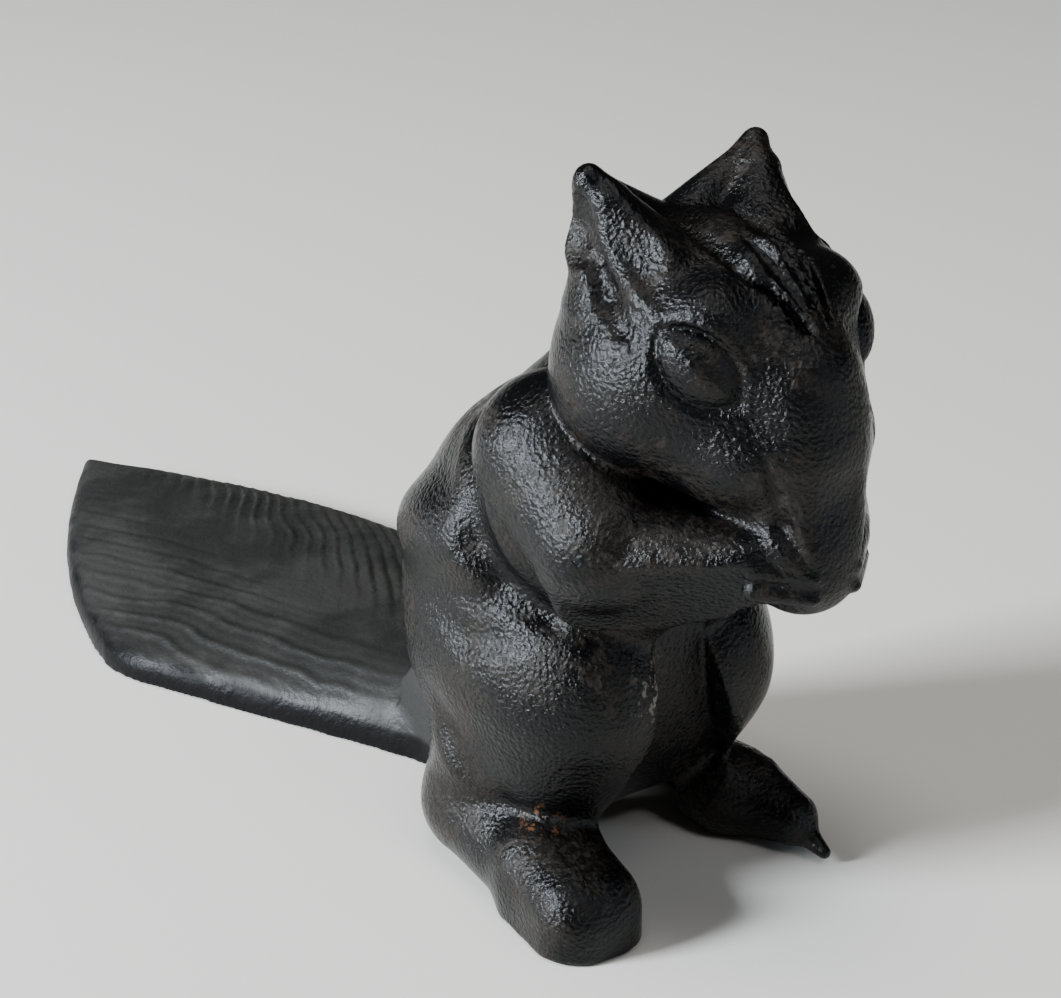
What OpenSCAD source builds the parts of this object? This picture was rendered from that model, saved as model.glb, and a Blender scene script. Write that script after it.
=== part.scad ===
// Squirrel nutcracker
//
// A cast iron squirrel sits on its hind feet with both paws at its mouth.
// Its broad flat tail is the handle of a lever that turns on a steel pin
// between the haunches. The body is hollow and open underneath. Lifting the
// tail swings a ridged jaw back out of the nut chamber; pressing the tail
// down to the table drives the jaw at the ridged inside of the belly.
//
// Millimetres, +Z up, table at Z = 0. The squirrel faces -Y and its tail runs
// to +Y. But for its feet the figure is mirrored about X = 0. The origin is
// under the middle of the overall length.

/* [Figure] */
// height to the tips of the ears
figure_height = 108; // [90:1:130]
// middle of the torso, measured along Y from the origin
torso_y = -49.25; // [-55:0.25:-40]
// half width, half depth and half height of the torso
torso_radii = [24, 26, 34];
// middle of one haunch, from the point under the torso
haunch_centre = [10.2, -4, 33];
// half sizes of one haunch
haunch_radii = [15.3, 25, 22];
// middle of the skull, from the point under the torso
skull_centre = [0, -30, 85];
// half sizes of the skull
skull_radii = [20, 20, 15.5];
// tip of one ear, from the point under the torso
ear_tip = [13.8, -21.5, 107];

/* [Nut chamber] */
// clear width between the side walls
chamber_width = 34; // [28:0.5:36]
// inside face of the belly wall, from the middle of the torso
chamber_front = -14; // [-18:0.5:-10]
// height of the roof over the table
chamber_roof = 36; // [30:0.5:40]
// width of the arch in the back, where the tail swings out
arch_width = 29; // [26:0.5:31]
// number of ridges that grip the shell, on the belly and on the jaw
ridge_count = 4; // [2:1:6]
// depth of one ridge
ridge_depth = 1.2; // [0.6:0.1:2]

/* [Hinge] */
// diameter of the hinge pin
pin_diameter = 6; // [4:0.5:8]
// pin axis behind the middle of the torso
hinge_back = 16; // [12:0.5:18]
// pin axis over the table
hinge_height = 38; // [32:0.5:42]
// running clearance on the radius between pin and lever
pin_clearance = 0.05; // [0.02:0.01:0.1]
// width of the lever's hub
hub_width = 19.2; // [16:0.2:20]
// diameter of the lever's hub
hub_diameter = 16; // [13:0.5:18]

/* [Tail] */
// tip of the tail, measured along Y from the origin
tail_tip = 105.75; // [95:0.25:120]
// half width where the flare meets the leaf
leaf_half_width = 36; // [30:0.5:40]
// where the leaf begins to taper
leaf_start = 7; // [0:0.5:20]
// fullness of the leaf towards its tip
leaf_power = 2.1; // [1.5:0.1:3]
// widening of the flare for each millimetre of length
flare_slope = 0.47; // [0.4:0.01:0.6]
// where the blade of the tail meets its neck
tail_root = -25; // [-30:0.5:-18]
// half width at the root
root_half_width = 9; // [8:0.1:9.6]
// thickness at the root
root_thickness = 12; // [8:0.5:14]
// thickness at the tip
tip_thickness = 5; // [3:0.5:6]
// thickness at the side edges
edge_thickness = 4.4; // [3:0.2:6]

/* [Jaw] */
// width of the jaw plate
jaw_width = 26; // [20:0.5:28]
// jaw face behind the belly wall when the tail is down
rest_gap = 13; // [10:0.5:18]
// lower edge of the jaw over the table
jaw_bottom = 8; // [7:0.5:12]
// upper edge of the jaw over the table
jaw_top = 29; // [24:0.5:31]

/* [Hidden] */
iron = [0.16, 0.16, 0.17];
worn_iron = [0.27, 0.27, 0.26];
steel = [0.72, 0.73, 0.75];

side_clearance = 0.5;
hub_clearance = 1.2;
knuckle_width = hub_width + 2 * side_clearance;
pin_start = -14.5;
pin_end = 16;
pin_y = torso_y + hinge_back;
belly_y = torso_y + chamber_front;
jaw_y = belly_y + rest_gap;
front_corner = 6;
jaw_thickness = 8;
web_width = hub_width - 0.4;
web_step = 6;
corner_blend = 1.5;
dome_power = 2.6;
overlap = 0.5;
sink = 2;
far = 60;

// Mirrored pair about the middle plane.
module pair() {
    children();
    mirror([1, 0, 0]) children();
}

// Egg shape with half sizes r, tipped forward about X by tilt degrees.
module egg(centre, r, tilt = 0, turn = 0) {
    translate(centre) rotate([tilt, 0, turn]) scale(r) sphere(r = 1, $fn = 28);
}

// One ring of a limb: radius and height from the arc angle a on a ball r.
function ring(r, lift, a, n) =
    [for (i = [0:n - 1]) [r * cos(a) * cos(360 * i / n), r * cos(a) * sin(360 * i / n), lift + r * sin(a)]];

function ring_faces(rings, n) =
    [for (k = [0:rings - 2], i = [0:n - 1])
        [k * n + i, k * n + (i + 1) % n, (k + 1) * n + (i + 1) % n, (k + 1) * n + i]];

// The same faces seen from the other side.
function flipped(faces) = [for (f = faces) [for (i = [len(f) - 1:-1:0]) f[i]]];

// Tapered limb with rounded ends, from a ball ra at point a to rb at b.
module limb(a, b, ra, rb) {
    n = 20;
    steps = [-84, -58, -34, -11];
    axis = b - a;
    reach = norm(axis);
    low = [for (s = steps) each ring(ra, 0, s, n)];
    high = [for (s = [len(steps) - 1:-1:0]) each ring(rb, reach, -steps[s], n)];
    rings = 2 * len(steps);
    caps = [[for (i = [n - 1:-1:0]) i], [for (i = [0:n - 1]) (rings - 1) * n + i]];
    sides = ring_faces(rings, n);
    translate(a) rotate([0, acos(axis.z / reach), atan2(axis.y, axis.x)])
        polyhedron(points = concat(low, high), faces = flipped(concat(sides, caps)), convexity = 4);
}

// ---- Body ---------------------------------------------------------------

module head() {
    egg(skull_centre, skull_radii);
    egg([0, -34, 83], [16.5, 20, 13.5]);
    limb([0, -38, 83], [0, -48, 77.5], 12, 7.5);
    egg([0, -46.3, 70.5], [7.3, 7.5, 12.5]);
    pair() {
        egg([11, -29, 79.5], [10.5, 14, 10]);
        egg([9.5, -37, 89], [8.5, 9, 7], -25);
        limb([11, -25, 92], ear_tip, 8.5, 1);
        egg([9.5, -23.5, 98], [6, 4.5, 6], 0, 0);
        egg([14.6, -42, 85.5], [3, 5, 3.6], -35, 38);
    }
}

module arms() {
    pair() {
        limb([15, -17, 68], [17.5, -30, 60], 11.5, 10.2);
        limb([17.5, -31.2, 59.2], [8, -46, 61], 8.4, 6.5);
        for (z = [57.6, 61.1, 64.6]) limb([8.4, -48.5, z], [3.6, -54.2, z - 0.7], 2.4, 1.7);
    }
    egg([0, -48, 62], [8.5, 8, 10]);
}

module trunk() {
    egg([0, 0, 36], torso_radii);
    limb([0, -4, 53], [0, -16, 74], 18.5, 13);
    egg([0, -20, 58], [16, 18, 17]);
    pair() egg([8, -10, 60], [14, 15, 18], 25);
    pair() egg(haunch_centre, haunch_radii);
}

// The right foot is blunt; the left one (+X) ends in a claw.
module feet() {
    pair() limb([15.3, -3, 8.5], [17, -26, 4.5], 10, 7.5);
    limb([17, -27.4, 3.4], [18.9, -33.8, 2.1], 3.2, 1.7);
}

// Outer skin of the squirrel, brought to its height over the table.
module skin() {
    resize([0, 0, figure_height]) intersection() {
        union() {
            head();
            arms();
            trunk();
            feet();
        }
        translate([-far, -far, 0]) cube([2 * far, 2 * far, 2 * far]);
    }
}

// Plan of the nut chamber: rounded corners at the belly, open at the back.
module chamber_plan() {
    half = chamber_width / 2;
    translate([-half, chamber_front + front_corner]) square([chamber_width, 22]);
    translate([front_corner - half, chamber_front]) square([chamber_width - 2 * front_corner, far / 2]);
    for (x = [front_corner - half, half - front_corner])
        translate([x, chamber_front + front_corner]) circle(r = front_corner, $fn = 48);
}

// Room for the nut, open to the table, with the arch the tail swings through.
module chamber() {
    translate([0, 0, -sink]) linear_extrude(chamber_roof + sink) chamber_plan();
    translate([-arch_width / 2, 0, -sink])
        cube([arch_width, far, chamber_roof - arch_width / 2 + sink]);
    translate([0, 0, chamber_roof - arch_width / 2]) rotate([-90, 0, 0])
        cylinder(d = arch_width, h = far, $fn = 64);
}

// Slot in the back for the hub of the lever.
module knuckle_slot() {
    reach = hub_diameter / 2 + hub_clearance;
    translate([-knuckle_width / 2, hinge_back, hinge_height]) rotate([0, 90, 0])
        cylinder(r = reach, h = knuckle_width, $fn = 64);
    translate([-knuckle_width / 2, hinge_back, sink])
        cube([knuckle_width, far, hinge_height + reach - sink]);
    translate([-knuckle_width / 2, hinge_back - reach, sink])
        cube([knuckle_width, far, hinge_height - sink]);
}

// Row of sharp ridges across X, stepped up in Z, pointing to +Y.
module ridges(width, bottom, top) {
    pitch = (top - bottom) / ridge_count;
    for (i = [0:ridge_count - 1])
        translate([-width / 2, 0, bottom + i * pitch]) rotate([90, 0, 90])
            linear_extrude(width)
                polygon([[-overlap, 0], [0, 0], [ridge_depth, pitch / 2], [0, pitch], [-overlap, pitch]]);
}

module body_casting() {
    color(iron) translate([0, torso_y, 0]) {
        difference() {
            skin();
            chamber();
            knuckle_slot();
            translate([pin_start, hinge_back, hinge_height]) rotate([0, 90, 0])
                cylinder(d = pin_diameter, h = far, $fn = 64);
        }
        translate([0, chamber_front, 0])
            ridges(chamber_width - 2 * front_corner, jaw_bottom + 4, jaw_top);
    }
}

// ---- Hinge pin ------------------------------------------------------------

module hinge_pin() {
    color(steel) translate([pin_start, pin_y, hinge_height]) rotate([0, 90, 0])
        cylinder(d = pin_diameter, h = pin_end - pin_start, $fn = 64);
}

// ---- Tail lever -----------------------------------------------------------

// Half width of the tail: a straight flare that turns into a pointed leaf.
function flare(y) = root_half_width + flare_slope * (y - tail_root);
function leaf(y) = leaf_half_width * (1 - pow(max(0, (y - leaf_start) / (tail_tip - leaf_start)), leaf_power));
function tail_half(y) = -corner_blend * ln(exp(-flare(y) / corner_blend) + exp(-leaf(y) / corner_blend));
function tail_top(y) =
    root_thickness + (tip_thickness - root_thickness) * (y - tail_root) / (tail_tip - tail_root);

// Cross section of the blade: flat below, thin rounded edges, domed on top.
function dome(share, t, e) = e + (t - e) * (1 - pow(share, dome_power));
function tail_ring(y) =
    let(w = max(tail_half(y), 0.6), t = tail_top(y), e = min(edge_thickness, 0.85 * t), c = min(1.2, w / 3)) [
        [c - w, y, 0], [-w, y, 0.25 * e], [-w, y, 0.7 * e], [c - w, y, e],
        [-0.7 * w, y, dome(0.7, t, e)], [-0.4 * w, y, dome(0.4, t, e)], [0, y, t],
        [0.4 * w, y, dome(0.4, t, e)], [0.7 * w, y, dome(0.7, t, e)],
        [w - c, y, e], [w, y, 0.7 * e], [w, y, 0.25 * e], [w - c, y, 0]
    ];

module tail_blade() {
    steps = 36;
    n = 13;
    last = tail_tip - 0.4;
    at = [for (k = [0:steps]) tail_root + (last - tail_root) * sin(90 * k / steps)];
    points = [for (y = at) each tail_ring(y)];
    ends = [[for (i = [n - 1:-1:0]) i], [for (i = [0:n - 1]) steps * n + i]];
    polyhedron(points = points, faces = flipped(concat(ring_faces(steps + 1, n), ends)), convexity = 6);
}

// Side view of the neck: from the blade up to the hub, jaw ahead of it.
module neck_profile() {
    polygon([
        [tail_root + 6, 0], [tail_root, 0], [pin_y, 3], [jaw_y + jaw_thickness, jaw_bottom],
        [jaw_y + 2, jaw_bottom], [jaw_y + web_step, jaw_top], [pin_y - hub_diameter / 2, hinge_height],
        [pin_y, hinge_height + 2], [pin_y + hub_diameter / 2, hinge_height],
        [tail_root + 1, root_thickness + 6], [tail_root + 6, root_thickness]
    ]);
}

module jaw_plate() {
    translate([-jaw_width / 2, jaw_y, jaw_bottom])
        cube([jaw_width, jaw_thickness, jaw_top - jaw_bottom]);
    translate([0, jaw_y, 0]) mirror([0, 1, 0]) ridges(jaw_width, jaw_bottom, jaw_top);
}

module tail_lever() {
    color(worn_iron) difference() {
        union() {
            tail_blade();
            jaw_plate();
            translate([-web_width / 2, 0, 0]) rotate([90, 0, 90]) linear_extrude(web_width) neck_profile();
            translate([-hub_width / 2, pin_y, hinge_height]) rotate([0, 90, 0])
                cylinder(d = hub_diameter, h = hub_width, $fn = 64);
        }
        translate([-far, pin_y, hinge_height]) rotate([0, 90, 0])
            cylinder(d = pin_diameter + 2 * pin_clearance, h = 2 * far, $fn = 64);
    }
}

body_casting();
hinge_pin();
tail_lever();
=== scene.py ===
"""Looks of the squirrel nutcracker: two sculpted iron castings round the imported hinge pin.

Each casting is a signed distance field, built in millimetres in the figure's own frame
(X = 0 is the mirror plane, Y runs from the middle of the torso towards the tail, Z is up
from the table), and surface nets turn it into a mesh.
"""

import math

import bpy
import numpy as np
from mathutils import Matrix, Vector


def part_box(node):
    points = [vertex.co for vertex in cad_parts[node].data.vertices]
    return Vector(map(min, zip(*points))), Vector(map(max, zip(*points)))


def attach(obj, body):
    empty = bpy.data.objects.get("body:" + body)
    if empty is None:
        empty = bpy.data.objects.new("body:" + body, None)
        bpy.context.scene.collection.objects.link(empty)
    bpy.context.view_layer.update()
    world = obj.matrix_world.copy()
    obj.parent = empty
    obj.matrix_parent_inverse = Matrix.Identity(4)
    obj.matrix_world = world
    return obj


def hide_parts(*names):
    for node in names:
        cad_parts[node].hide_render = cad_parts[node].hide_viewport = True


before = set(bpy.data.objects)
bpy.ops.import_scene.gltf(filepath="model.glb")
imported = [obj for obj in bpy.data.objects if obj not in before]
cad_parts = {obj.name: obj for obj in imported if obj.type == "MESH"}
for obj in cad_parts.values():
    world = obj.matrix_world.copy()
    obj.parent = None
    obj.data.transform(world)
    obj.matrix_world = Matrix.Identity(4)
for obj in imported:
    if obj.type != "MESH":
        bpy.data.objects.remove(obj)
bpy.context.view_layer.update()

MM = 0.001
pin_low, pin_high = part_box("hinge_pin")
tail_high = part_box("tail_lever")[1]
# The hinge axis in the figure's frame, and where that frame sits along the part's Y.
HINGE_Y, HINGE_Z = 16.0, (pin_low.z + pin_high.z) / 2 / MM
TORSO_Y = (pin_low.y + pin_high.y) / 2 / MM - HINGE_Y
PIN_START, PIN_RADIUS = pin_low.x / MM, (pin_high.z - pin_low.z) / 2 / MM
PIN_GAP = 0.03  # between the sculpted hole in the body and the pin
TIP_Y = tail_high.y / MM - TORSO_Y

# ---- Sculpting tools: distances in millimetres -----------------------------


def unit(v):
    v = np.asarray(v, float)
    return v / np.linalg.norm(v)


def dot(a, b):
    return sum(u * v for u, v in zip(a, b))


def turned(p, centre, tilt, turn=0.0):
    """Point coordinates seen from an egg at centre, tipped about X and then turned about Z."""
    x, y, z = (v - c for v, c in zip(p, centre))
    if turn:
        c, s = math.cos(math.radians(turn)), math.sin(math.radians(turn))
        x, y = c * x + s * y, c * y - s * x
    if tilt:
        c, s = math.cos(math.radians(tilt)), math.sin(math.radians(tilt))
        y, z = c * y + s * z, c * z - s * y
    return x, y, z


def egg(p, centre, radii, tilt=0.0):
    """Ellipsoid, tipped about X."""
    q = turned(p, centre, tilt)
    near = np.sqrt(sum((v / r) ** 2 for v, r in zip(q, radii)))
    slope = np.sqrt(sum((v / r**2) ** 2 for v, r in zip(q, radii)))
    return near * (near - 1.0) / np.maximum(slope, 1e-6)


def almond(p, centre, along, outward, half_length, half_width, depth):
    """Eye shape with two pointed corners, its long way along one direction."""
    along = unit(along)
    outward = unit(np.asarray(outward) - along * np.dot(outward, along))
    across = np.cross(outward, along)
    d = [v - c for v, c in zip(p, centre)]
    q = [dot(d, axis) for axis in (along, across, outward)]
    shift = (half_length**2 - half_width**2) / (2 * half_width)
    radii = (half_width + shift, half_width + shift, depth)
    return np.maximum(egg(q, (0, shift, 0), radii), egg(q, (0, -shift, 0), radii))


def limb(p, a, b, ra, rb):
    """Tapered limb with rounded ends, from a ball ra at a to a ball rb at b."""
    axis = [e - s for s, e in zip(a, b)]
    d = [v - s for v, s in zip(p, a)]
    t = np.clip(dot(d, axis) / dot(axis, axis), 0.0, 1.0)
    return np.sqrt(sum((u - t * v) ** 2 for u, v in zip(d, axis))) - (ra + (rb - ra) * t)


def chain(p, *balls, blend=0.6):
    """Limbs from ball to ball, each ball given as x, y, z, radius."""
    d = None
    for a, b in zip(balls, balls[1:]):
        link = limb(p, a[:3], b[:3], a[3], b[3])
        d = link if d is None else join(d, link, blend)
    return d


def block(p, low, high, rounding=0.0):
    """Box from its low corner to its high corner, with rounded edges."""
    out = [np.maximum(lo + rounding - v, v - hi + rounding) for v, lo, hi in zip(p, low, high)]
    outside = np.sqrt(sum(np.maximum(v, 0.0) ** 2 for v in out))
    return outside + np.minimum(np.maximum(np.maximum(out[0], out[1]), out[2]), 0.0) - rounding


def outline(u, v, corners):
    """Distance to a polygon in the plane of u and v, negative inside it."""
    nearest, inside = np.full(u.shape, 1e6), np.ones(u.shape)
    for (u0, v0), (u1, v1) in zip(corners, corners[1:] + corners[:1]):
        eu, ev, wu, wv = u1 - u0, v1 - v0, u - u0, v - v0
        t = np.clip((wu * eu + wv * ev) / (eu * eu + ev * ev), 0.0, 1.0)
        nearest = np.minimum(nearest, (wu - eu * t) ** 2 + (wv - ev * t) ** 2)
        above, below = v >= v0, v < v1
        left = eu * wv > ev * wu
        crosses = (above & below & left) | (~above & ~below & ~left)
        inside = np.where(crosses, -inside, inside)
    return inside * np.sqrt(nearest)


def bar(p, radius):
    """Round bar across the figure, on the hinge axis."""
    return np.hypot(p[1] - HINGE_Y, p[2] - HINGE_Z) - radius


def facet(p, normal, point):
    """Everything behind a plane through a point."""
    return dot(unit(normal), [v - c for v, c in zip(p, point)])


def join(a, b, k):
    """Union with a fillet about k wide."""
    h = np.clip(0.5 + 0.5 * (b - a) / k, 0.0, 1.0)
    return b + (a - b) * h - k * h * (1.0 - h)


def cut(a, b, k):
    """What is left of a after b is scooped out, with edges rounded by about k."""
    return -join(-a, b, k)


def mirror(p):
    """Both sides of the figure brought to +X."""
    return np.abs(p[0]), p[1], p[2]


CORNERS = [(i, j, k) for i in (0, 1) for j in (0, 1) for k in (0, 1)]
LATTICE_SIZE = 32
LATTICE = np.random.default_rng(11).random((LATTICE_SIZE,) * 3).astype(np.float32)


def lumps(p, size):
    """Smooth random lumps of one size, from -1 to 1."""
    cell = [np.floor(v / size).astype(np.int32) for v in p]
    f = [v / size - c for v, c in zip(p, cell)]
    f = [v * v * (3.0 - 2.0 * v) for v in f]
    total = 0.0
    for corner in CORNERS:
        weight = 1.0
        for share, high in zip(f, corner):
            weight = weight * (share if high else 1.0 - share)
        total = total + weight * LATTICE[tuple((c + k) % LATTICE_SIZE for c, k in zip(cell, corner))]
    return 2.0 * total - 1.0


# ---- The squirrel ----------------------------------------------------------

CHAMBER_HALF, CHAMBER_FRONT, CHAMBER_ROOF = 17.0, -14.0, 36.0
ARCH_HALF = 14.5
KNUCKLE_HALF, KNUCKLE_RADIUS = 10.1, 9.2
RIDGE_DEPTH, RIDGES = 1.2, 4
RECESS_X, RECESS_WALL_Y, RECESS_TOP = -1.9, -25.2, 45.0
LUMP_SIZE, LUMP_HEIGHT = 5.3, 0.07


def trunk(p):
    """Torso, haunches and heels, and the hollow in the belly between the legs."""
    m = mirror(p)
    d = egg(p, (0, 0, 36), (23.0, 25.5, 32.5))
    d = join(d, limb(p, (0, -5, 53), (0, -16.5, 74), 17.0, 12.5), 9)
    d = join(d, egg(m, (8, -11, 60), (13.5, 13.5, 17), 25), 6)
    d = join(d, egg(p, (0, -20, 58), (16, 18, 17)), 6)
    d = join(d, limb(m, (13.2, -3, 18), (12.6, 3.4, 6), 10.3, 9.0), 5)
    d = join(d, egg(m, (10.5, 1, 49.5), (12.9, 19.2, 10.2), -12), 1.6)
    thigh = egg(m, (9.6, -5, 32.5), (14.8, 23.6, 17.5), 4)
    thigh = join(thigh, limb(m, (8.6, -15.0, 27), (9.4, -13.0, 13.4), 11.0, 7.8), 5)
    thigh = join(thigh, egg(p, (-11.4, -8.2, 21.5), (10.4, 14.8, 10)), 4)
    d = join(d, thigh, 1.6)
    hip_crease = chain(m, (26, 5, 42.4, 1.6), (25.4, -8, 39.8, 2.4), (20.5, -20.5, 43, 0.8))
    d = cut(d, hip_crease, 2.2)
    calf_crease = chain(m, (25.6, 5, 30, 1.6), (24.9, -3, 23, 2.0), (24.2, -9.5, 15, 1.2))
    d = cut(d, calf_crease, 2.5)
    drop = np.clip(RECESS_TOP - p[2], 0, 40)
    across = np.where(p[0] < RECESS_X, RECESS_X - p[0], 0.5 * (p[0] - RECESS_X))
    recess = np.maximum(across - 3.0 - 0.0052 * drop**2, p[1] - RECESS_WALL_Y - 0.0085 * drop**2)
    return cut(d, np.maximum(recess, p[2] - RECESS_TOP - 4), 0.4)


def feet(p):
    """The right foot is blunt, the left one (+X) pointed and turned out, with a claw."""
    right = limb(p, (-15.2, 0, 7.5), (-16.4, -17, 5.0), 8.5, 7.8)
    slope = 0.17 * np.clip(-14 - p[1], 0, 22)
    toe = turned((p[0], p[1], p[2] + slope), (-17.2, -24.5, 4.0), 0, -7)
    right = join(right, block(toe, (-8.2, -9.9, -9), (7.7, 12, 9.8), 6.4), 2.5)
    left = limb(p, (14.6, -3, 7.6), (17.0, -16, 5.6), 9.0, 6.4)
    left = join(left, limb(p, (18.4, -18, 5.4), (20.6, -27.2, 4.4), 6.4, 3.8), 3)
    ridge = chain(p, (15.5, -11, 10.2, 3.2), (20.4, -20.5, 9.0, 2.4), (21.6, -27.6, 6.0, 1.9))
    left = join(left, ridge, 1.2)
    claw = limb(p, (20.8, -29.6, 3.4), (21.2, -33.6, 1.8), 1.9, 1.0)
    left = join(left, claw, 1.2)
    return np.minimum(right, left)


def arms(p):
    """Upper arm and forearm, the forearm with flat faces on its outer side and below."""
    m = mirror(p)
    upper = limb(m, (14.7, -17.2, 68), (16.6, -28.6, 60.6), 11.4, 9.6)
    fore = limb(m, (16.6, -30, 58.6), (7.6, -45.6, 60.6), 8.8, 5.4)
    under = chain(
        m, (17.2, -28, 53.0, 5.6), (14.6, -35.3, 53.0, 4.6), (10.6, -41.5, 55, 4.0), (8, -48, 58.6, 3.2),
        blend=2,
    )
    fore = join(fore, under, 2)
    wrist = limb(m, (9.0, -45.5, 62.6), (6.2, -50.4, 64.6), 3.2, 1.6)
    fore = join(fore, wrist, 1.2)
    fore = cut(fore, -facet(m, (0.80, -0.36, 0.48), (19.0, -36.2, 65.0)), 0.3)
    fore = cut(fore, -facet(m, (0.56, -0.58, -0.53), (24.0, -31.8, 57.6)), 0.3)
    elbow_crease = chain(m, (18.2, -37.0, 70, 0.8), (22.3, -37.6, 64.4, 1.0), (26, -34.8, 58, 0.4))
    return cut(join(upper, fore, 0.8), elbow_crease, 0.4)


def fingers(m):
    """Two rows of fingers, folded over the nut."""
    rows = [limb(m, (8.8, -49.2, z + 0.4), (3.4, -54.3, z - 0.3), 1.5, 1.0) for z in (61.4, 58.6)]
    return join(rows[0], rows[1], 0.3)


# Directions of the left eye: its long way, and where it looks.
EYE = dict(along=(-0.41, -0.68, -0.60), outward=(0.705, -0.676, 0.213))
EAR_TIP = (13.6, -21.5, 106.2)


def ears(m):
    """Ears with a broad flat face in front and a shallow hollow on the outer side."""
    d = limb(m, (10.5, -24.2, 92), EAR_TIP, 7.2, 1.2)
    d = join(d, limb(m, (13.0, -20.8, 97), (13.8, -20.8, 104.8), 3.0, 1.4), 2)
    d = join(d, limb(m, (2.0, -20.5, 96.2), EAR_TIP, 4.4, 1.2), 2)
    d = join(d, limb(m, (8.6, -28.0, 94.8), (12.2, -24.0, 103), 6.6, 2.9), 1.5)
    face = egg(m, (10.8, -29.0, 96.0), (6.0, 6.5, 5.5))
    face = join(face, limb(m, (11, -27.5, 97), (12.8, -23.2, 104.2), 5.5, 2.2), 1.5)
    face = np.maximum(face, facet(m, (0.85, -0.36, 0.38), (13.6, -29.6, 98.5)))
    d = join(d, face, 0.8)
    return cut(d, egg(m, (23.1, -21.4, 100.4), (9.5, 8.2, 7.6)), 0.3)


def ear_edge(d, m):
    """Sharp edge from the ear tip to the upper lid, with a drop on its outer side."""
    drop = chain(
        m, (15.0, -22.6, 100.8, 0.5), (15.9, -25.4, 97.2, 1.5), (17.3, -28.9, 93.9, 2.1),
        (18.5, -33.2, 91.2, 1.6), (18.0, -37.8, 89.2, 0.9), blend=1,
    )
    d = cut(d, drop, 0.8)
    edge = chain(
        m, (13.7, -22.6, 105.0, 1.0), (13.9, -25.4, 100.6, 1.2), (14.0, -28.6, 96.6, 1.4),
        (14.6, -33.0, 94.0, 1.5), (14.4, -36.8, 92.2, 1.5), (11.9, -40.6, 91.3, 1.4),
        (9.4, -44.2, 88.6, 0.9),
    )
    return join(d, edge, 0.5)


def muzzle(p):
    """Long flat front of the face, running down into the chin and the nut."""
    m = mirror(p)
    lean = 0.14 * np.clip(p[2] - 75, 0, 20)
    q = (p[0], p[1] - lean, p[2])
    d = block(q, (-7.1, -54.2, 60), (7.1, -36, 85), 4.2)
    d = join(d, egg(m, (5.4, -39.5, 75.4), (8.8, 12.2, 8.4)), 3)
    d = join(d, egg(p, (0, -47.6, 62.6), (8.0, 8.1, 8.8)), 2)
    d = join(d, egg(p, (0, -49.4, 59.4), (6.4, 5.8, 5.2)), 1.5)
    return d


def head(p):
    """Skull, cheeks, muzzle, brow and ears, a tuft between the ears, and the eyes in their sockets."""
    m = mirror(p)
    d = egg(p, (0, -29.6, 85), (19.2, 19.8, 15.2))
    d = join(d, egg(m, (10.6, -28.6, 79.5), (10.2, 13.0, 10)), 4.5)
    d = join(d, muzzle(p), 4)
    nose_bridge = chain(p, (0, -41, 90, 7.0), (0, -46.8, 84.5, 6.4), (0, -49.2, 78, 5.2), blend=2)
    d = join(d, nose_bridge, 4)
    d = join(d, ears(m), 2.5)
    d = join(d, egg(m, (8.2, -36.5, 89.5), (7.6, 9.5, 7.2), -25), 1.5)
    tuft_border = chain(m, (4.6, -29, 100.9, 1.3), (4.4, -40, 98.2, 1.4), (1.7, -48.6, 91.4, 1.0))
    tuft = chain(p, (0, -27, 96.6, 4.6), (0, -39, 95.0, 5.2), (0, -48.6, 90.0, 1.5))
    tuft_hollow = chain(m, (1.2, -36, 100.9, 0.7), (1.4, -43, 98.0, 1.1), (0.6, -47.4, 93.8, 0.5))
    d = cut(join(cut(d, tuft_border, 0.5), tuft, 0.4), tuft_hollow, 1.0)
    d = ear_edge(d, m)
    socket = almond(m, (13.9, -43.3, 87.1), half_length=8.2, half_width=5.0, depth=3.4, **EYE)
    d = cut(d, socket, 0.4)
    d = cut(d, limb(m, (11.2, -48.0, 83.4), (9.6, -50.4, 81.8), 1.5, 0.4), 0.6)
    ball = almond(m, (11.9, -41.2, 87.1), half_length=6.6, half_width=4.5, depth=4.2, **EYE)
    return join(d, ball, 0.2)


def ridges(p, face_y, way, half_width, bottom, top):
    """Row of sharp ridges across X on a wall at face_y, pointing way along Y."""
    phase = 1.0 - 2.0 * np.abs((p[2] - bottom) / (top - bottom) * RIDGES % 1.0 - 0.5)
    reach = (p[1] - face_y) * way - RIDGE_DEPTH * phase
    d = np.maximum(reach * 0.85, -(p[1] - face_y) * way - 2.0)
    ends = np.maximum(np.abs(p[0]) - half_width, np.maximum(bottom - p[2], p[2] - top))
    return np.maximum(d, ends)


def chamber(p):
    """Room for the nut, the arch in the back, and the slot for the lever's hub."""
    m = mirror(p)
    room = block(m, (-20, CHAMBER_FRONT, -20), (CHAMBER_HALF, 14, CHAMBER_ROOF), 3.0)
    arch_z = CHAMBER_ROOF - ARCH_HALF
    arch = np.where(p[2] < arch_z, m[0], np.hypot(p[0], p[2] - arch_z)) - ARCH_HALF
    room = np.minimum(room, np.maximum(arch, -p[1]))
    slot = np.minimum(
        bar(p, KNUCKLE_RADIUS),
        block(p, (-20, HINGE_Y, 0), (20, 80, HINGE_Z + KNUCKLE_RADIUS)),
    )
    slot = np.minimum(slot, block(p, (-20, HINGE_Y - KNUCKLE_RADIUS, 0), (20, 80, HINGE_Z)))
    return np.minimum(room, np.maximum(slot, m[0] - KNUCKLE_HALF))


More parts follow.
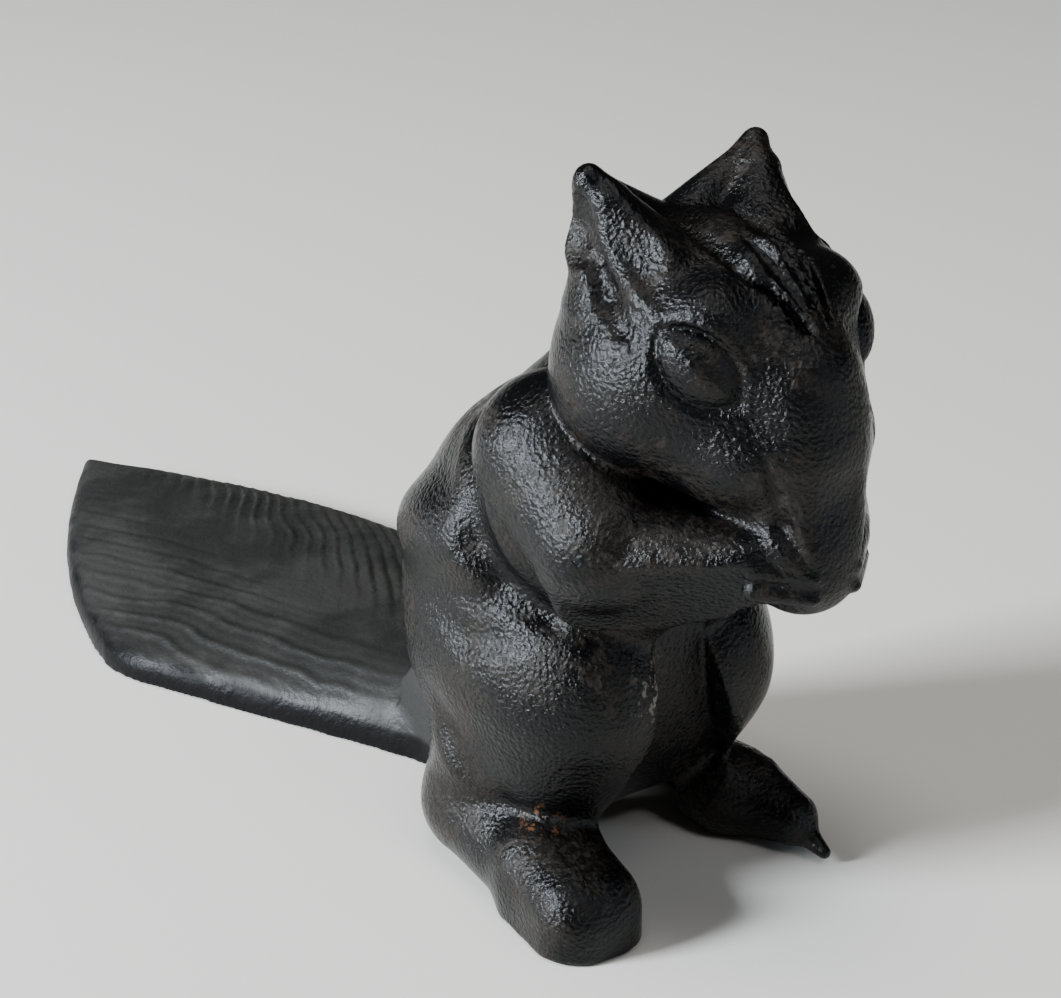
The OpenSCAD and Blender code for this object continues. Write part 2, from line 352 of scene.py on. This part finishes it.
def skin(p):
    """The whole figure, before it is hollowed."""
    m = mirror(p)
    d = join(trunk(p), feet(p), 2.5)
    sleeve = chain(
        m, (14.4, 3.6, 66.3, 1.0), (19.2, -0.9, 64.4, 2.4), (22.8, -5.4, 59.8, 3.2),
        (23.0, -8.4, 53.4, 3.2), (21.0, -12, 48.4, 2.6), (17, -18, 45, 1.0), blend=1,
    )
    d = cut(d, sleeve, 2.5)
    d = join(d, arms(p), 0.5)
    d = join(d, head(p), 0.8)
    mouth = chain(
        m, (9.0, -50.6, 77.0, 0.3), (7.9, -51.4, 72.0, 1.0), (7.0, -51.6, 67.8, 1.5),
        (5.9, -53.8, 65.0, 0.9), (4.5, -55.2, 62.4, 0.7),
    )
    d = cut(d, mouth, 0.5)
    d = join(d, fingers(m), 0.5)
    return d + LUMP_HEIGHT * lumps(p, LUMP_SIZE)


def squirrel(p):
    """The body casting: the figure with the nut chamber, its ridges, and the blind hole for the pin."""
    d = np.maximum(skin(p), -chamber(p))
    d = np.minimum(d, ridges(p, CHAMBER_FRONT, 1, 11, 12, 29))
    pin_hole = np.maximum(bar(p, PIN_RADIUS + PIN_GAP), PIN_START - p[0])
    return np.maximum(np.maximum(d, -pin_hole), -p[2])


# ---- The tail lever --------------------------------------------------------

HUB_HALF, HUB_RADIUS = 9.6, 8.0
WEB_HALF = HUB_HALF - 0.2
JAW_HALF, JAW_FACE, JAW_THICKNESS, JAW_BOTTOM, JAW_TOP = 13.0, -1.0, 8.0, 8.0, 29.0
ROOT_Y, ROOT_HALF, ROOT_THICKNESS, TIP_THICKNESS = 24.25, 9.0, 12.0, 5.0
LEAF_START, LEAF_HALF, LEAF_POWER, FLARE = 56.25, 35.8, 2.1, 0.465
EDGE_THICKNESS, DOME_POWER = 4.4, 2.6
TAIL_LUMP_SIZE, TAIL_LUMP_HEIGHT = 3.7, 0.1
BORE_GAP = 0.05  # between the sculpted bore in the hub and the pin


def tail_half(y):
    """Half of the tail's width at y."""
    flare = ROOT_HALF + FLARE * (y - ROOT_Y)
    along = np.clip((y - LEAF_START) / (TIP_Y - LEAF_START), 0.0, 1.3)
    return join(flare, LEAF_HALF * (1.0 - along**LEAF_POWER), 4.0)


def fur(x, y):
    """Height of the combed fur: long curved barbs in uneven clumps, deeper near the edges."""
    m = np.abs(x)
    sweep = np.where(x < 0, 0.35 * m + 0.006 * m**2, 1.1 * m + 0.02 * m**2)
    slant = np.where(x < 0, 0.28, 0.75)
    comb = (y - sweep) * slant - m * np.where(x < 0, 0.8, 0.25)
    comb = comb + 1.6 * lumps((x, y, 0.0 * x), 13.0) + 0.5 * lumps((x, y, 0.0 * x), 5.0)
    clump = 0.5 + 0.5 * lumps((x, y, 9.0 + 0.0 * x), 17.0)
    barbs = (0.24 - 0.50 * np.abs(np.sin(comb * 0.8))) * clump + 0.07 * np.sin(comb * 3.1 + 1.0)
    reach = np.maximum(tail_half(y), 1.0) - m
    return barbs * np.clip(m / 9.0 - 0.2, 0.12, 1.0) * np.clip(reach / 5.0, 0.0, 1.0)


def blade(p):
    """Leaf-shaped blade, domed across near its root, with thin rounded edges."""
    x, y, z = p
    m = np.abs(x)
    half = np.maximum(tail_half(y), 0.3)
    share = np.clip(m / half, 0.0, 1.3)
    top = ROOT_THICKNESS + (TIP_THICKNESS - ROOT_THICKNESS) * (y - ROOT_Y) / (TIP_Y - ROOT_Y)
    edge = np.minimum(EDGE_THICKNESS, 0.85 * top)
    surface = edge + (top - edge) * (1.0 - share**DOME_POWER) - 0.5 + fur(x, y)
    side = (m - half) * 0.85
    d = -join(-(z - surface) * 0.9, -side, 2.6)
    d = np.maximum(np.maximum(d, -z), ROOT_Y - y)
    return -join(-d, TIP_Y - 0.6 - y, 2.0)


def neck(p):
    """From the blade up to the hub on the pin, with the ridged jaw ahead of it."""
    jaw_back = JAW_FACE + JAW_THICKNESS
    side_view = [
        (ROOT_Y + 6, 0), (ROOT_Y, 0), (HINGE_Y, 3), (jaw_back, JAW_BOTTOM),
        (JAW_FACE + 2, JAW_BOTTOM), (JAW_FACE + 6, JAW_TOP), (HINGE_Y - HUB_RADIUS, HINGE_Z),
        (HINGE_Y, HINGE_Z + 2), (HINGE_Y + HUB_RADIUS, HINGE_Z),
        (ROOT_Y + 1, ROOT_THICKNESS + 6), (ROOT_Y + 6, ROOT_THICKNESS),
    ]
    web = np.maximum(outline(p[1], p[2], side_view), np.abs(p[0]) - WEB_HALF)
    hub = np.maximum(bar(p, HUB_RADIUS), np.abs(p[0]) - HUB_HALF)
    jaw = block(p, (-JAW_HALF, JAW_FACE, JAW_BOTTOM), (JAW_HALF, jaw_back, JAW_TOP), 0.6)
    jaw = np.minimum(jaw, ridges(p, JAW_FACE, -1, JAW_HALF - 0.4, JAW_BOTTOM, JAW_TOP))
    return np.minimum(join(web, jaw, 0.8), hub)


def tail(p):
    """The tail lever: blade, neck, jaw and hub, with the bore for the pin."""
    d = join(blade(p), neck(p) + 0.05, 1.5)
    d = np.maximum(d + TAIL_LUMP_HEIGHT * lumps(p, TAIL_LUMP_SIZE), -p[2])
    return np.maximum(d, -bar(p, PIN_RADIUS + BORE_GAP))


# ---- Surface nets ------------------------------------------------------------

BLOCK = 4
HALF_DIAGONAL = 0.87  # from a block's middle to its corner, for a block of side 1
MARGIN = 1.2  # for fields that fall short of true distances, in millimetres
FAR = 9.0  # value given to samples far from the surface, with the field's sign
BLOCKS_AT_ONCE = 8000
PROBE = 0.05  # step for measuring a field's slope
SNAPS, LEAST_SLOPE_SQUARED = 2, 0.2


def sampled(field, low, counts, cell):
    """Field values on a grid. Blocks of samples far from the surface only get a sign."""
    blocks = [c // BLOCK for c in counts]
    at = [lo + (np.arange(n) * BLOCK + (BLOCK - 1) / 2) * cell for lo, n in zip(low, blocks)]
    coarse = field(np.meshgrid(*at, indexing="ij"))
    near = np.abs(coarse) < BLOCK * cell * HALF_DIAGONAL + MARGIN
    far = np.sign(coarse)[..., None, None, None] * FAR
    values = np.broadcast_to(far, (*blocks, *(BLOCK,) * 3)).copy()
    index = np.argwhere(near)
    step = np.stack(np.meshgrid(*(np.arange(BLOCK),) * 3, indexing="ij"))
    for start in range(0, len(index), BLOCKS_AT_ONCE):
        part = index[start : start + BLOCKS_AT_ONCE]
        places = part.T[..., None, None, None] * BLOCK + step[:, None]
        p = [lo + place * cell for lo, place in zip(low, places)]
        values[tuple(part.T)] = field(p)
    return values.transpose(0, 3, 1, 4, 2, 5).reshape(counts)


def snapped(field, v, cell):
    """Moves points onto the surface along its slope."""
    for _ in range(SNAPS):
        d = field(tuple(v.T))
        slope = np.stack([field(tuple((v + e).T)) - d for e in np.eye(3) * PROBE], 1) / PROBE
        step = d / np.maximum((slope**2).sum(1), LEAST_SLOPE_SQUARED)
        v = v - slope * np.clip(step, -cell / 2, cell / 2)[:, None]
    return v


def surface_net(field, low, high, cell):
    """Vertices and quads of the field's zero surface."""
    low = np.asarray(low, float)
    counts = [int(math.ceil((hi - lo) / cell / BLOCK)) * BLOCK for lo, hi in zip(low, high)]
    values = sampled(field, low, counts, cell)
    inside = values < 0
    cells = [c - 1 for c in counts]

    def at(grid, corner):
        return grid[tuple(slice(o, o + n) for o, n in zip(corner, cells))]

    full = sum(at(inside, c).astype(np.uint8) for c in CORNERS)
    mixed = (full > 0) & (full < 8)
    ijk = np.argwhere(mixed)
    number = np.full(cells, -1, np.int64)
    number[mixed] = np.arange(len(ijk))
    total, crossings = np.zeros((len(ijk), 3)), np.zeros(len(ijk))
    for a in CORNERS:
        for axis in range(3):
            if a[axis]:
                continue
            b = tuple(1 if k == axis else v for k, v in enumerate(a))
            va, vb = (values[tuple((ijk + c).T)] for c in (a, b))
            hit = (va < 0) != (vb < 0)
            t = np.where(hit, va / np.where(hit, va - vb, 1.0), 0.0)
            total += np.where(hit[:, None], np.asarray(a) + t[:, None] * np.eye(3)[axis], 0.0)
            crossings += hit
    v = low + (ijk + total / crossings[:, None]) * cell
    quads = []
    for axis in range(3):
        u, w = (axis + 1) % 3, (axis + 2) % 3
        lo, hi = [slice(1, -1)] * 3, [slice(1, -1)] * 3
        lo[axis], hi[axis] = slice(0, -1), slice(1, None)
        changes = inside[tuple(lo)] != inside[tuple(hi)]
        e = np.argwhere(changes)
        for k in (u, w):
            e[:, k] += 1
        outward = inside[tuple(e.T)]
        ring = []
        for du, dw in ((-1, -1), (0, -1), (0, 0), (-1, 0)):
            c = e.copy()
            c[:, u] += du
            c[:, w] += dw
            ring.append(number[tuple(c.T)])
        ring = np.stack(ring, 1)
        quads.append(np.where(outward[:, None], ring, ring[:, ::-1]))
    return snapped(field, v, cell), np.concatenate(quads)


def casting(name, field, low, high, cell, node, body, finish):
    """Meshes a field, sets it in the part's frame, and lets it stand for its CAD node."""
    v, quads = surface_net(field, low, high, cell)
    v[:, 1] += TORSO_Y
    v[:, 2] = np.maximum(v[:, 2], 0.0)
    mesh = bpy.data.meshes.new(name)
    mesh.from_pydata((v * MM).tolist(), [], quads.tolist())
    mesh.validate()
    mesh.shade_smooth()
    mesh.materials.append(finish)
    piece = bpy.data.objects.new(name, mesh)
    bpy.context.scene.collection.objects.link(piece)
    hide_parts(node)
    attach(piece, body)


# ---- Materials ----------------------------------------------------------------


class Finish:
    """A node material, with short calls for what it is made of."""

    def __init__(self, name):
        self.material = bpy.data.materials.new(name)
        self.material.use_nodes = True
        self.tree = self.material.node_tree
        self.shader = self.tree.nodes["Principled BSDF"]
        self.place = self.add("ShaderNodeTexCoord").outputs["Object"]

    def feed(self, socket, value):
        """Links another node's output to a socket, or sets a constant on it."""
        if isinstance(value, bpy.types.NodeSocket):
            self.tree.links.new(value, socket)
        else:
            socket.default_value = value

    def add(self, kind, inputs=None, **settings):
        """New node; its settings come first, because they decide which sockets it has."""
        node = self.tree.nodes.new(kind)
        for key, value in settings.items():
            setattr(node, key, value)
        for key, value in (inputs or {}).items():
            self.feed(node.inputs[key], value)
        return node

    def scaled(self, factors):
        inputs = {0: self.place, 1: factors}
        return self.add("ShaderNodeVectorMath", inputs, operation="MULTIPLY").outputs[0]

    def noise(self, size, detail=3.0, roughness=0.55, stretch=None):
        """Noise with features about size metres across, longer on axes with a stretch above 1."""
        vector = self.scaled([1.0 / s for s in stretch]) if stretch else self.place
        inputs = {"Vector": vector, "Scale": 1.0 / size, "Detail": detail, "Roughness": roughness}
        return self.add("ShaderNodeTexNoise", inputs).outputs["Fac"]

    def cells(self, size):
        inputs = {"Vector": self.place, "Scale": 1.0 / size, "Smoothness": 0.6}
        return self.add("ShaderNodeTexVoronoi", inputs, feature="SMOOTH_F1").outputs["Distance"]

    def ramp(self, value, start, end, low=0.0, high=1.0):
        inputs = {"Value": value, "From Min": start, "From Max": end, "To Min": low, "To Max": high}
        return self.add("ShaderNodeMapRange", inputs, interpolation_type="SMOOTHSTEP").outputs[0]

    def math(self, operation, a, b=0.5):
        return self.add("ShaderNodeMath", {0: a, 1: b}, operation=operation).outputs[0]

    def mix(self, share, a, b):
        """Colour a where share is 0, colour b where it is 1."""
        return self.add("ShaderNodeMix", {0: share, 6: a, 7: b}, data_type="RGBA").outputs[2]

    def near(self, point, radius, soft):
        """1 within radius of a point of the figure in millimetres, falling to 0 over soft."""
        x, y, z = point
        inputs = {0: self.place, 1: (x * MM, (y + TORSO_Y) * MM, z * MM)}
        gap = self.add("ShaderNodeVectorMath", inputs, operation="DISTANCE").outputs["Value"]
        return self.ramp(gap, radius * MM, (radius + soft) * MM, 1.0, 0.0)

    def spots(self, places):
        """1 around each place (x, y, z, radius), given in millimetres of the figure."""
        total = 0.0
        for x, y, z, radius in places:
            total = self.math("MAXIMUM", total, self.near((x, y, z), 0.35 * radius, radius))
        return total

    def axis(self, name):
        return self.add("ShaderNodeSeparateXYZ", {0: self.place}).outputs[name]

    def bump(self, height, distance, strength=1.0):
        inputs = {"Height": height, "Distance": distance, "Strength": strength}
        return self.add("ShaderNodeBump", inputs).outputs["Normal"]

    def done(self, **sockets):
        """Feeds the shader's sockets; an underscore stands for a space in a socket's name."""
        for key, value in sockets.items():
            self.feed(self.shader.inputs[key.replace("_", " ")], value)
        return self.material


def rgb(r, g, b):
    return (r, g, b, 1.0)


def black_iron():
    """Glossy dark enamel over sand-cast iron, rubbed matte and warm-toned in patches, with painted shade
    and painted reflection added to the patches by listed spots.
    """
    f = Finish("black_iron")
    # Painted shade: these spots push the patch mask to glossy dark enamel in creases, hollows and
    # undersides, under the chin and the cheek among them.
    painted_shade_spots = f.spots([
        (-23, 1, 41.4, 6), (-22, 0, 52, 5), (-18, 8, 58, 7), (-23.6, 3, 31, 5), (-19, -20, 21, 9),
        (-23, -24, 62, 6), (-13, -46, 56, 6), (-19, -31, 76, 5), (-20, -33, 3, 5), (0, -42, 92, 7),
    ])
    # Partly real rubbed enamel, partly painted reflection: these spots push the mask to the matte warm
    # finish on the belly hollow, ear hollow, leg and foot, standing in for a warm reflection on faces
    # turned to the floor.
    warm_wear_and_reflection_spots = f.spots([
        (-24, -2, 15, 9), (-19, -22, 12, 7), (-15, -20, 99, 7), (-15, -42, 64, 7), (-8, -52, 72, 6),
        (-2, -24, 30, 9), (8, -22, 104, 6), (-22, -6, 27, 4), (-14, -12, 68, 7),
    ])
    # Painted light: the spot masks tilt the random patch noise towards painted shade and painted
    # reflection.
    painted_light_bias = f.math("SUBTRACT", f.math("MULTIPLY", warm_wear_and_reflection_spots, 0.12), f.math("MULTIPLY", painted_shade_spots, 0.12))
    patches = f.ramp(f.math("ADD", f.noise(0.012, 5.0, 0.64), painted_light_bias), 0.47, 0.58)
    specks = f.ramp(f.noise(0.0012, 3.0, 0.6), 0.46, 0.60)
    wear_and_painted_light = f.math("MULTIPLY", patches, f.ramp(specks, 0.0, 1.0, 0.35, 1.0))
    # Dark glossy colour where the mask is low and matte warm colour where it is high: random rubbing of
    # the enamel, plus the painted shade and painted reflection from the spots.
    colour = f.mix(wear_and_painted_light, rgb(0.0015, 0.0015, 0.0018), rgb(0.0115, 0.0090, 0.0072))
    rust_grain = f.ramp(f.noise(0.0014, 4.0, 0.7), 0.53, 0.63)
    rust = f.math("MULTIPLY", f.near((-18.6, -18.2, 13.8), 0.2, 3.8), rust_grain)
    colour = f.mix(rust, colour, rgb(0.13, 0.060, 0.028))
    chip_grain = f.ramp(f.noise(0.0011, 2.0, 0.6), 0.56, 0.60)
    chips = f.math("MULTIPLY", f.near((-5.6, -28.6, 35.0), 1.5, 5.0), chip_grain)
    colour = f.mix(chips, colour, rgb(0.22, 0.19, 0.16))
    roughness = f.ramp(wear_and_painted_light, 0.0, 1.0, 0.16, 0.46)
    grain = f.math("ADD", f.noise(0.00068, 4.0, 0.62), f.math("MULTIPLY", f.cells(0.00062), 0.6))
    normal = f.bump(grain, 0.00023, 1.0)
    return f.done(Base_Color=colour, Roughness=roughness, Normal=normal, Specular_IOR_Level=0.20)


def tail_iron():
    """The same iron with the enamel rubbed matte and grey, and painted shade darkening its low edges
    near the table.
    """
    f = Finish("tail_iron")
    patches = f.ramp(f.noise(0.02, 5.0, 0.6), 0.42, 0.62)
    colour = f.mix(patches, rgb(0.016, 0.016, 0.0150), rgb(0.026, 0.025, 0.023))
    # Painted shade: colour goes darker on the low edges near the table, standing in for shade there; the
    # same mask also lowers roughness and specular.
    height = f.math("ADD", f.axis("Z"), f.math("MULTIPLY", f.noise(0.006, 3.0), 0.002))
    painted_shade_edge = f.ramp(height, 0.0042, 0.0060, 1.0, 0.0)
    colour = f.mix(painted_shade_edge, colour, rgb(0.004, 0.004, 0.0045))
    roughness = f.ramp(patches, 0.0, 1.0, 0.50, 0.62)
    roughness = f.math("SUBTRACT", roughness, f.math("MULTIPLY", painted_shade_edge, 0.12))
    normal = f.bump(f.noise(0.0013, 3.0, 0.6), 0.00025, 0.7)
    shine = f.ramp(painted_shade_edge, 0.0, 1.0, 0.30, 0.08)
    return f.done(Base_Color=colour, Roughness=roughness, Normal=normal, Specular_IOR_Level=shine)


def pin_steel():
    """Plain steel pin with turning marks."""
    f = Finish("pin_steel")
    rings = f.noise(0.0006, 3.0, 0.6, (1.0, 9.0, 9.0))
    stain = f.ramp(f.noise(0.003, 4.0, 0.6), 0.4, 0.65)
    colour = f.mix(stain, rgb(0.42, 0.42, 0.43), rgb(0.20, 0.17, 0.15))
    roughness = f.ramp(rings, 0.3, 0.7, 0.28, 0.45)
    normal = f.bump(rings, 0.00005, 0.5)
    return f.done(Base_Color=colour, Roughness=roughness, Metallic=1.0, Normal=normal)


def pale_floor():
    """Plain matte floor."""
    f = Finish("pale_floor")
    return f.done(Base_Color=rgb(0.74, 0.71, 0.66), Roughness=0.8)


# ---- Pieces -------------------------------------------------------------------

BODY_CELL = 0.62
TAIL_CELL = BODY_CELL * 0.85
casting(
    "squirrel_body", squirrel, (-31, -62, -2), (31, 30, 111), BODY_CELL,
    "body_casting", "squirrel", black_iron(),
)
casting(
    "tail_handle", tail, (-37, -5, -2), (37, TIP_Y + 2, 50), TAIL_CELL,
    "tail_lever", "tail", tail_iron(),
)
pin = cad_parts["hinge_pin"]
pin.data.materials.clear()
pin.data.materials.append(pin_steel())

# ---- Floor, lights and camera ---------------------------------------------------

FLOOR_HALF, FLOOR_Z = 3.0, -0.0002
WORLD_GREY, WORLD_STRENGTH = 0.80, 0.06


def add_floor():
    """Flat square just under the object."""
    mesh = bpy.data.meshes.new("floor")
    signs = ((-1, -1), (1, -1), (1, 1), (-1, 1))
    corners = [(x * FLOOR_HALF, y * FLOOR_HALF, FLOOR_Z) for x, y in signs]
    mesh.from_pydata(corners, [], [(0, 1, 2, 3)])
    mesh.materials.append(pale_floor())
    floor = bpy.data.objects.new("floor", mesh)
    bpy.context.scene.collection.objects.link(floor)


def add_light(name, place, size, power, colour, target=(0.0, -0.05, 0.05)):
    """Soft rectangular lamp, turned towards the object."""
    light = bpy.data.lights.new(name, "AREA")
    light.shape, light.size, light.size_y = "RECTANGLE", *size
    light.energy, light.color = power, colour
    lamp = bpy.data.objects.new(name, light)
    lamp.location = place
    aim = unit(np.subtract(target, place))
    lamp.rotation_euler = (math.acos(-aim[2]), 0.0, math.atan2(aim[0], -aim[1]) + math.pi)
    bpy.context.scene.collection.objects.link(lamp)


def add_camera():
    """Camera at the photograph's viewing angle."""
    data = bpy.data.cameras.new("camera")
    data.sensor_width, data.lens = 36.0, 84.62
    data.clip_start = 0.01
    camera = bpy.data.objects.new("camera", data)
    camera.location = (-0.19583, -0.30405, 0.19644)
    camera.rotation_euler = (math.radians(90 - 24.3175), 0.0, math.radians(-36.6))
    bpy.context.scene.collection.objects.link(camera)
    bpy.context.scene.camera = camera


add_floor()
add_light("window", (-1.1, 0.30, 0.50), (0.34, 0.34), 54.0, (0.86, 0.93, 1.0))
add_light("ceiling", (-0.15, -0.05, 1.3), (0.5, 0.5), 7.0, (1.0, 0.98, 0.95))
add_light("room", (0.0, -1.0, 1.2), (0.35, 0.35), 4.0, (0.97, 0.98, 1.0))
add_light("sky", (0.9, -1.5, 0.4), (0.35, 0.5), 4.0, (0.62, 0.80, 1.0))
world = bpy.data.worlds.new("world")
world.use_nodes = True
background = world.node_tree.nodes["Background"]
background.inputs["Color"].default_value = rgb(WORLD_GREY, WORLD_GREY, WORLD_GREY)
background.inputs["Strength"].default_value = WORLD_STRENGTH
bpy.context.scene.world = world
add_camera()
